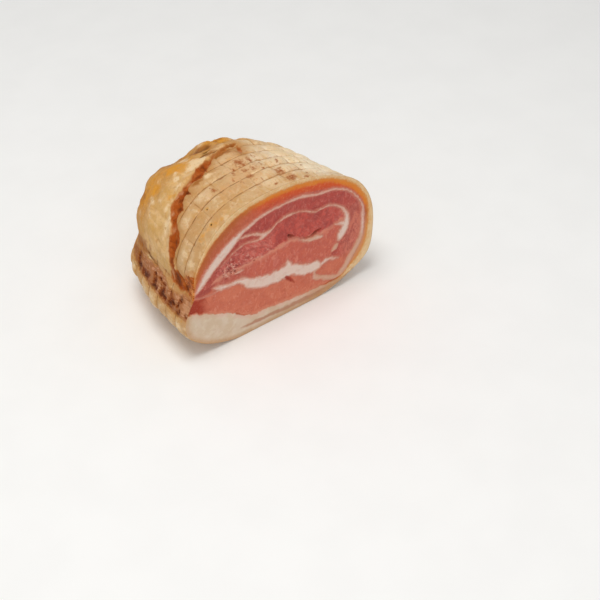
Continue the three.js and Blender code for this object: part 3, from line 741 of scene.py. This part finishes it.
def add(tree, kind, inputs=(), output=0, **settings):
    """Adds a node with its settings, fills its inputs and gives back one of its outputs, if it has any.

    An input is a number, a list of numbers, an sRGB hex colour, or another node's output to link.
    """
    node = tree.nodes.new("ShaderNode" + kind)
    for name, value in settings.items():
        setattr(node, name, value)
    for socket, value in dict(inputs).items():
        if isinstance(value, bpy.types.NodeSocket):
            tree.links.new(value, node.inputs[socket])
        else:
            node.inputs[socket].default_value = linear(value) if isinstance(value, str) else value
    return node.outputs[output] if node.outputs else node


def finished(name, surface):
    """A material of one Principled shader, whose inputs a function of the node tree works out."""
    made = bpy.data.materials.new(name)
    made.use_nodes = True
    tree = made.node_tree
    tree.nodes.clear()
    shader = add(tree, "BsdfPrincipled", surface(tree))
    add(tree, "OutputMaterial", {"Surface": shader})
    return made


def value_of(tree, values, what):
    """The output that carries a value; it is made when it is first asked for.

    The value is an output already, or the name of a grain or of what the mesh holds. It can also be
    such a name, a grain, and how far that grain's noise shifts the value either way.
    """
    if isinstance(what, bpy.types.NodeSocket):
        return what
    if what not in values and isinstance(what, str):
        values[what] = add(tree, "Attribute", output="Fac", attribute_name=what)
    if what not in values:
        name, grain, reach = what
        noise = {0: value_of(tree, values, grain), 1: 2 * reach, 2: -reach}
        swing = add(tree, "Math", noise, operation="MULTIPLY_ADD")
        values[what] = add(tree, "Math", {0: value_of(tree, values, name), 1: swing}, operation="ADD")
    return values[what]


def laid_over(tree, values, base, layers):
    """Colours laid over a base in order.

    Each layer is a value, where it starts, where it is full, its strength there, and its colour.
    """
    for what, start, full, strength, colour in layers:
        value = value_of(tree, values, what)
        steps = {"Value": value, "From Min": start, "From Max": full, "To Max": strength}
        share = add(tree, "MapRange", steps, interpolation_type="SMOOTHSTEP")
        base = add(tree, "Mix", {0: share, 6: base, 7: colour}, output=2, data_type="RGBA")
    return base


def weighed(tree, values, terms):
    """The sum of values, each times its weight."""
    total = 0.0
    for what, weight in terms:
        inputs = {0: value_of(tree, values, what), 1: weight, 2: total}
        total = add(tree, "Math", inputs, operation="MULTIPLY_ADD")
    return total


def grains(tree, rows):
    """The noise of a material by name, placed in the joint's own space."""
    place = add(tree, "TexCoord", output="Object")
    values = {}
    for name, (size, detail, warp, *pull) in rows.items():
        stretch, turn = pull or ((1, 1, 1), 0)
        turned = {"Vector": place, "Rotation": (0, math.radians(turn), 0), "Scale": stretch}
        pulled = add(tree, "Mapping", turned, vector_type="TEXTURE")
        inputs = {"Vector": pulled, "Scale": 1 / (size * MM), "Detail": detail, "Distortion": warp}
        values[name] = add(tree, "TexNoise", inputs)
    return values


# Noise by name: size of its blobs in mm, detail and distortion. Some is stretched along x, y and z too, and
# turned about the y axis in degrees
SKIN_GRAIN = {
    "broad": (15, 3, 0.6),
    "mottle": (5, 5, 0.5),
    "cloud": (6.5, 4, 0.9, (1, 2.2, 1), 0),
    "fine": (1.5, 4, 0.2),
    "specks": (0.8, 2, 0),
    "fibres": (2.0, 5, 1.0, (0.8, 3, 0.8), 0),
    "breaks": (3.4, 4, 0.3),
    "gaps": (6.5, 3, 0.3),
}
CUT_GRAIN = {
    "broad": (13, 3, 0.5),
    "blocks": (5, 2, 0.5, (0.9, 1, 1.9), 8),
    "mottle": (4.5, 5, 0.6),
    "bundles": (2.6, 5, 1.2, (0.8, 1, 1.7), 0),
    "streaks": (1.5, 3, 0.7, (0.75, 1, 2.8), -42),
    "fine": (1.2, 4, 0.2),
    "specks": (0.75, 2, 0),
    "frayed": (2.4, 4, 2.6, (1, 1, 0.7), 0),
    "edge": (1.9, 4, 0.4),
}


def smoked_skin(tree):
    """Pork rind and fat, cured and hot smoked: waxy, tan to ochre, slightly translucent, in a dull gloss.

    Dried lean shows red-brown where it tore and purple-brown along the bare strip. The net's print
    leaves thin dark lines. Shade is painted into the hollows, the crease, the fold and beside the torn
    edge, and highlights are painted on the flap, on the net's pillows and on the tip.
    """
    values = grains(tree, SKIN_GRAIN)
    laid = partial(laid_over, tree, values)
    torn = ("torn", "breaks", 0.9)
    strip = ("strip", "breaks", 1.8)
    pocket = ("pocket", "fine", 0.5)
    tip = ("tip", "breaks", 0.4)
    values["uneven"] = weighed(tree, values, [("mottle", 0.5), ("cloud", 0.5)])

    torn_lean = laid("#A24A12", [
        ("mottle", 0.42, 0.58, 0.7, "#B4622C"), ("fibres", 0.5, 0.64, 0.7, "#803A12"),
        (("torn_dark", "mottle", 0.5), -0.15, -0.7, 0.85, "#C48A60"),
        (("torn_dark", "mottle", 0.6), 0.2, 0.7, 0.9, "#80380C"),
        (("torn_dark", "fine", 1.2), 0.6, 1.2, 0.8, "#602A08"), ("back", 0.08, 0.3, 0.75, "#96581E"),
        (torn, 1, 0, 0.5, "#C07C44"),
    ])
    strip_lean = laid("#A86C44", [
        ("mottle", 0.42, 0.58, 0.7, "#A06844"), ("fibres", 0.5, 0.64, 0.7, "#C89272"),
        (pocket, -0.4, 0.1, 0.8, "#94501E"), ("back", 0.15, 0.7, 0.85, "#985A26"),
        (pocket, 0, 0.3, 0.95, "#74300A"), (pocket, 0.34, 0.7, 0.9, "#521E04"),
        ("specks", 0.58, 0.7, 0.5, "#B87850"), (("strip_pale", "fibres", 1.4), 0.2, 1, 0.7, "#CA946C"),
        (strip, 2.4, 0.2, 0.6, "#BC8246"),
    ])
    tip_lean = laid("#B8580E", [
        ("fibres", 0.44, 0.58, 0.8, "#8E4004"), ("mottle", 0.5, 0.62, 0.6, "#C87020"),
        (("torn_dark", "fibres", 1.0), 0.2, 0.9, 0.9, "#843A04"),
        # The pale specks are painted glints on the tip's wet lean
        (("torn_dark", "fibres", 1.0), -0.1, -0.8, 0.85, "#E29450"), ("specks", 0.6, 0.7, 0.5, "#F0BC74"),
    ])
    to_ring = ("to_ring", "fine", 0.4)
    tone = ("tone", "mottle", 1.8)
    bare_lines = laid("#000000", [
        (to_ring, 0.8, 0.1, 1, "#FFFFFF"), ("to_thread", 1.2, 0.3, 0.3, "#FFFFFF"),
    ])
    lines = laid("#000000", [("gaps", 0.42, 0.6, 1, bare_lines)])
    net_print = laid("#000000", [("netted", 0.3, 0.9, 1, lines)])
    flap_skin = laid("#D4A96A", [
        ("cloud", 0.42, 0.58, 0.9, "#E0B882"), ("back", 0, 1, 0.8, "#C28434"),
        ("cloud", 0.56, 0.68, 0.5, "#E2B470"), ("flap_rim", 0.2, 0.9, 0.75, "#DEB888"),
        ("mottle", 0.5, 0.64, 0.45, "#C09050"), ("broad", 0.5, 0.64, 0.5, "#CB9848"),
    ])
    colour = laid("#C89C6A", [
        ("broad", 0.42, 0.62, 0.8, "#D0AC7E"), ("pale", 0, 1, 0.9, "#E2C49C"),
        ("pale", 0.8, 1.4, 0.85, "#F2E2CA"), ("back", 0, 1, 0.8, "#C4883E"),
        ("cloud", 0.48, 0.62, 0.55, "#C8985A"), ("mottle", 0.52, 0.66, 0.55, "#E2C298"),
        # The net's pillows: painted highlight on their tops and painted shade round their edges
        ("swell", 0.5, 0.1, 0.55, "#CC9F72"), ("swell", 0.6, 1.1, 0.6, "#E2C49A"),
        (tone, 0.2, 1.2, 0.5, "#E4C69E"), (tone, -0.2, -1.2, 0.5, "#C2925C"),
        (("peach", "uneven", 1.2), 0.25, 1, 0.75, "#D2A474"), ("pale", 1, 1.5, 0.65, "#FAE8C8"),
        # Darker tan within a few mm of the torn lean: painted shade beside the slots
        (("torn", "mottle", 2.4), -8, -0.6, 0.8, "#BC8850"), ("flap", 0.1, 0.9, 0.95, flap_skin),
        (("ochre", "uneven", 1.2), 0.15, 0.9, 0.9, "#DA942C"),
        # Cream patches: the rind's own cream, and on the flap painted wet highlights
        (("cream_and_glint", "uneven", 1.2), 0.3, 0.9, 0.85, "#ECCEA2"), ("fine", 0.56, 0.7, 0.45, "#B07C46"),
        # Painted shade: darker brown in the relief's hollows
        ("specks", 0.62, 0.74, 0.4, "#EBD0A8"), ("hollow", 0.06, 0.5, 0.7, "#A0682E"),
        # Brown patches: the smoked colour, with painted shade in the fold, above the strip and under the
        # flap's edge; then painted shade in the crease
        (("smoke_and_shade", "uneven", 1.2), 0.2, 0.95, 0.85, "#9E5C1E"), ("crease", 0.15, 0.8, 0.85, "#6A4420"),
        # Painted shade in the fold where the flap tucks under; the net's print lines are its own colour
        ("fold", 0.35, 1.3, 0.8, "#704A1C"), (net_print, 0.1, 0.9, 0.55, "#8A6440"),
        (("fleck", "fine", 1.0), -0.2, 0.6, 0.8, "#A8683C"),
        (("fleck", "fine", 1.1), 0.5, 0.9, 0.7, "#984C1E"),
        (("pore", "fine", 0.3), -1.2, -0.2, 0.6, "#D09440"),
        (("pore", "fine", 0.3), -0.1, 0.35, 0.95, "#4A2C0E"),
        (("strip", "mottle", 3.0), -2.6, -0.4, 0.4, "#BE8A50"), (strip, -0.4, 0.4, 1, strip_lean),
        (tip, -0.35, 0, 0.45, "#C07630"), (tip, 0, 0.16, 1, tip_lean), (torn, -0.7, 0.4, 1, torn_lean),
    ])
    roughness = laid([0.62, 0.62, 0.62, 1], [
        ("mottle", 0.4, 0.62, 1, [0.5, 0.5, 0.5, 1]), ("flap", 0.3, 0.9, 0.7, [0.46, 0.46, 0.46, 1]),
        ("back", 0.2, 1, 0.8, [0.66, 0.66, 0.66, 1]), (torn, -0.3, 0.4, 0.8, [0.75, 0.75, 0.75, 1]),
        ("fine", 0.6, 0.68, 0.5, [0.3, 0.3, 0.3, 1]),
    ])
    height = weighed(tree, values, [("mottle", 1), ("fine", 0.5), ("fibres", 0.6), ("specks", 0.14)])
    return {
        "Base Color": colour,
        "Roughness": roughness,
        "Normal": add(tree, "Bump", {"Height": height, "Strength": 0.7, "Distance": 0.6 * MM}),
        "Specular IOR Level": 0.2,
        "Specular Tint": "#FFE2B8",
        "Subsurface Weight": 0.1,
        "Subsurface Radius": (1, 0.5, 0.25),
        "Subsurface Scale": 1.6 * MM,
    }


def cut_pork(tree):
    """Cured pork belly sliced clean: moist, fine-grained lean, pink to dark red, between lines of soft fat.

    Thin fat lets the lean's pink through, and thick fat is white. Outside the roll's outer fat the
    smoking has turned the lean orange, and the rind is a pale waxy strip.
    """
    values = grains(tree, CUT_GRAIN)
    laid = partial(laid_over, tree, values)
    fat = ("fat", "edge", 0.9)
    under = ("under_fat", "edge", 1.0)
    streak = ("under_streak", "mottle", 1.6)
    rind = ("rind", "edge", 1.0)
    crack = ("crack", "fine", 0.8)
    values["clouded"] = weighed(tree, values, [("broad", 0.5), ("mottle", 0.5)])
    from_rind = ("rind", "clouded", 3.2)

    rolled_lean = laid("#C45648", [
        ("top_lean", 0.2, 0.9, 0.9, "#B84A42"), ("right", 0, 1, 0.85, "#D27A64"),
        ("left", 0, 1, 0.6, "#B04C40"), ("blocks", 0.5, 0.62, 0.5, "#A03C3A"),
        ("blocks", 0.42, 0.32, 0.4, "#CC6A5C"), ("mottle", 0.46, 0.6, 0.45, "#A43E38"),
        ("bundles", 0.52, 0.66, 0.5, "#D68070"), ("fine", 0.56, 0.68, 0.4, "#98362F"),
        ("specks", 0.6, 0.72, 0.35, "#DC8E7C"),
    ])
    low_core = laid("#CE6852", [
        ("left", 0, 1, 0.75, "#B45A4E"), ("broad", 0.44, 0.62, 0.5, "#C6604E"),
        ("blocks", 0.44, 0.32, 0.45, "#E08C7C"), ("mottle", 0.46, 0.6, 0.5, "#C05648"),
        ("bundles", 0.52, 0.66, 0.5, "#E08E78"), ("fine", 0.56, 0.68, 0.3, "#B24A3E"),
    ])
    high_core = laid("#CE5C50", [
        ("left", 0, 1, 0.7, "#B84C44"), ("mottle", 0.44, 0.58, 0.6, "#AC4640"),
        ("bundles", 0.5, 0.64, 0.45, "#D67C6E"), ("streaks", 0.53, 0.66, 0.5, "#D88C7E"),
        ("streaks", 0.46, 0.36, 0.5, "#92383A"), ("specks", 0.6, 0.7, 0.4, "#E09A8A"),
    ])
    dark_core = laid("#CC584C", [
        ("broad", 0.44, 0.6, 0.6, "#AC423C"), ("blocks", 0.5, 0.62, 0.45, "#9E3A38"),
        ("blocks", 0.42, 0.32, 0.35, "#C66258"), ("mottle", 0.48, 0.62, 0.45, "#9E3834"),
        ("streaks", 0.54, 0.66, 0.4, "#CC7468"), ("fine", 0.56, 0.68, 0.35, "#90302A"),
    ])
    core_lean = laid(low_core, [
        (("core_top", "mottle", 2.4), -4.6, -0.6, 0.8, "#DE967C"),
        (("core_top", "mottle", 2.4), -1.6, 1.6, 0.95, high_core),
        (("dark_core", "edge", 0.2), 0.1, 0.6, 1, dark_core),
    ])
    lower_lean = laid("#D4765A", [
        ("broad", 0.42, 0.6, 0.6, "#CA6850"), ("bundles", 0.54, 0.68, 0.5, "#E09478"),
        ("mottle", 0.54, 0.68, 0.5, "#C05E46"), ("fine", 0.58, 0.7, 0.3, "#B8523C"),
        (under, -3.4, -0.4, 0.4, "#DA9678"),
    ])
    smoked_lean = laid("#CE563A", [
        ("mottle", 0.44, 0.6, 0.7, "#BC4630"), (from_rind, -9.4, -4.4, 0.9, "#D8541C"),
        ("bundles", 0.54, 0.66, 0.5, "#DE7450"), (from_rind, -4.6, -1.2, 1, "#E28426"),
        ("fine", 0.58, 0.7, 0.4, "#E89A58"),
    ])
    smoked_band = laid("#CC6A50", [
        ("left", 0, 1, 0.8, "#BE6440"), ("mottle", 0.44, 0.6, 0.6, "#BA5638"),
        ("bundles", 0.52, 0.66, 0.4, "#D08060"), (from_rind, -7.5, -1.5, 0.85, "#B85E26"),
        ("orange", 0.2, 0.95, 1, smoked_lean), ("pale_side", 0.1, 0.9, 0.85, "#DC9664"),
    ])
    clean_fat = laid("#C87C68", [
        (fat, 0.2, 1, 0.85, "#DCA894"), (fat, 1, 2.4, 0.9, "#E8D0C2"),
        ("mottle", 0.52, 0.68, 0.45, "#D8AC98"), ("fine", 0.56, 0.7, 0.4, "#F0DCD0"),
        ("faded", 0.1, 0.9, 0.75, "#D29C7E"),
    ])
    under_fat = laid("#DCC7B0", [
        (under, 5, 0.8, 0.75, "#DEB8A4"), ("broad", 0.42, 0.62, 0.5, "#CEB290"),
        ("mottle", 0.5, 0.66, 0.5, "#E2D2BC"), ("low_right", 0.1, 1, 0.7, "#CE9C78"),
        (streak, -0.8, 1, 0.8, "#B67A5C"), (rind, -5, 0.4, 0.75, "#C6986A"),
    ])
    rind_edge = laid("#D88E40", [
        (rind, 0.2, 2, 0.9, "#EAC694"), ("mottle", 0.44, 0.6, 0.6, "#DCA868"),
        ("fine", 0.54, 0.66, 0.5, "#F2D8AC"), (rind, 2.6, 4.4, 0.6, "#EACA9C"),
    ])
    colour = laid(rolled_lean, [
        ("above_streak", 3, -3, 1, lower_lean), (("core", "mottle", 1.2), -0.8, 0.8, 1, core_lean),
        (("roll", "mottle", 0.8), 0.6, -0.6, 1, smoked_band),
        (("corner", "mottle", 0.4), 0.05, 1, 0.95, "#A42E14"),
        (("tip_lean", "edge", 0.8), -1.2, 0.8, 0.7, "#A03A34"), (fat, -1.4, 0.1, 0.6, "#CA7C68"),
        (fat, -0.3, 0.7, 1, clean_fat), (("slit", "fine", 0.8), -1.2, 0.4, 0.85, "#A83220"),
        # The crack's colours are painted shade, deepest in the crack and fainter along the edge above it
        (crack, -1, 0.2, 0.7, "#983A2A"), (crack, 0.2, 0.9, 0.85, "#5C1C12"),
        (("raised", "edge", 0.6), -0.3, 0.6, 0.8, "#DEA490"),
        (("sunken", "edge", 0.6), -0.3, 0.6, 0.7, "#8A302C"),
    ])
    torn_fibres = laid("#000000", [("flakes", 0, 0.6, 1, "#FFFFFF")])
    frayed = weighed(tree, values, [("frayed", 1.0), (torn_fibres, 0.15)])
    sunk = weighed(tree, values, [("frayed", -1.0), (torn_fibres, 0.15)])
    colour = laid(colour, [
        (frayed, 0.74, 0.78, 0.9, "#EDBBA8"), (sunk, -0.28, -0.22, 0.8, "#7A241C"),
        ("specks", 0.66, 0.76, 0.35, "#E8AE98"), (rind, -1.2, 0.1, 0.6, "#DC8E44"),
        (rind, -0.1, 0.8, 1, rind_edge), (under, -0.5, 0.5, 1, under_fat),
    ])
    roughness = laid([0.52, 0.52, 0.52, 1], [
        ("mottle", 0.4, 0.64, 1, [0.38, 0.38, 0.38, 1]), (fat, -0.2, 0.6, 0.7, [0.44, 0.44, 0.44, 1]),
    ])
    height = weighed(tree, values, [("fine", 0.5), ("bundles", 0.9), ("mottle", 0.5), (frayed, 0.5)])
    return {
        "Base Color": colour,
        "Roughness": roughness,
        "Normal": add(tree, "Bump", {"Height": height, "Strength": 0.6, "Distance": 0.5 * MM}),
        "Specular IOR Level": 0.28,
        "Specular Tint": "#FFD8C4",
        "Subsurface Weight": 0.1,
        "Subsurface Radius": (1, 0.35, 0.22),
        "Subsurface Scale": 1.4 * MM,
    }


def matt_board(tree):
    """Painted board for the floor: matt, pale and even, with hardly a trace of mottling."""
    place = add(tree, "TexCoord", output="Object")
    mottle = add(tree, "TexNoise", {"Vector": place, "Scale": 1 / (40 * MM), "Detail": 2})
    return {
        "Base Color": laid_over(tree, {}, "#F8F8F7", [(mottle, 0.3, 0.7, 1, "#FAFAF9")]),
        "Roughness": 0.9,
    }


def shown(name, mesh, *materials):
    """An object for a mesh, at the origin, with its materials in order."""
    piece = bpy.data.objects.new(name, mesh)
    for made in materials:
        mesh.materials.append(made)
    bpy.context.collection.objects.link(piece)
    return piece


# Camera, light and floor

PHOTO_WIDTH = 600
VIEW_AZIMUTH = math.radians(-38)
VIEW_ELEVATION = math.radians(41)
VIEW_DISTANCE = 900.0
PIXELS_PER_MM = 1.475
AIM_PIXEL = (282.2, 262.0)
AIM_PLACE = Vector((-CENTRE[0], -CENTRE[1], 49 - RESTING_DEPTH))


def photo_camera():
    """The camera at the photo's angle, set back so that the aimed place on the cut falls on its pixel."""
    focal = PIXELS_PER_MM * VIEW_DISTANCE
    level = math.cos(VIEW_ELEVATION)
    aside = math.sin(VIEW_AZIMUTH)
    ahead = math.cos(VIEW_AZIMUTH)
    back = Vector((aside * level, -ahead * level, math.sin(VIEW_ELEVATION)))
    right = Vector((ahead, aside, 0))
    up = back.cross(right)
    across = (AIM_PIXEL[0] - PHOTO_WIDTH / 2) / focal
    upwards = -(AIM_PIXEL[1] - PHOTO_WIDTH / 2) / focal
    ray = right * across + up * upwards - back
    data = bpy.data.cameras.new("photo_camera")
    data.sensor_width = 36
    data.lens = data.sensor_width * focal / PHOTO_WIDTH
    data.clip_start = 0.01
    camera = bpy.data.objects.new("photo_camera", data)
    turned = Matrix((right, up, back)).transposed().to_4x4()
    camera.matrix_world = Matrix.Translation((AIM_PLACE - ray * VIEW_DISTANCE) * MM) @ turned
    bpy.context.collection.objects.link(camera)
    bpy.context.scene.camera = camera


def soft_light(name, place, size, power, colour):
    """A square area light at a place in metres, turned to the joint."""
    data = bpy.data.lights.new(name, "AREA")
    data.size = size
    data.energy = power
    data.color = linear(colour)[:3]
    light = bpy.data.objects.new(name, data)
    light.location = place
    light.rotation_euler = (Vector((0, 0, 0.04)) - Vector(place)).to_track_quat("-Z", "Y").to_euler()
    bpy.context.collection.objects.link(light)


def studio():
    """A pale floor, a bright even sky and two large soft lights."""
    world = bpy.data.worlds.new("pale_sky")
    world.use_nodes = True
    sky = world.node_tree.nodes["Background"]
    sky.inputs["Color"].default_value = linear("#FFFFFF")
    sky.inputs["Strength"].default_value = 0.48
    bpy.context.scene.world = world
    bpy.context.scene.view_settings.view_transform = "Standard"
    soft_light("overhead_light", (-0.25, -0.1, 1.25), 0.6, 7.8, "#FFFDF9")
    soft_light("front_light", (-0.5, -1.1, 0.7), 0.7, 2.2, "#FFFFFF")
    mesh = bpy.data.meshes.new("floor")
    mesh.from_pydata([(-3, -3, 0), (3, -3, 0), (3, 3, 0), (-3, 3, 0)], [], [(0, 1, 2, 3)])
    shown("floor", mesh, finished("pale_matt_board", matt_board))


photo_camera()
studio()
joint_mesh = closed_mesh("pork_joint_surface", *joint_surface())
skin_material = finished("smoked_pork_skin", smoked_skin)
cut_material = finished("cut_cured_pork", cut_pork)
joint = shown("pork_joint_surface", joint_mesh, skin_material, cut_material)
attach(joint, "root")
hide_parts(PART)
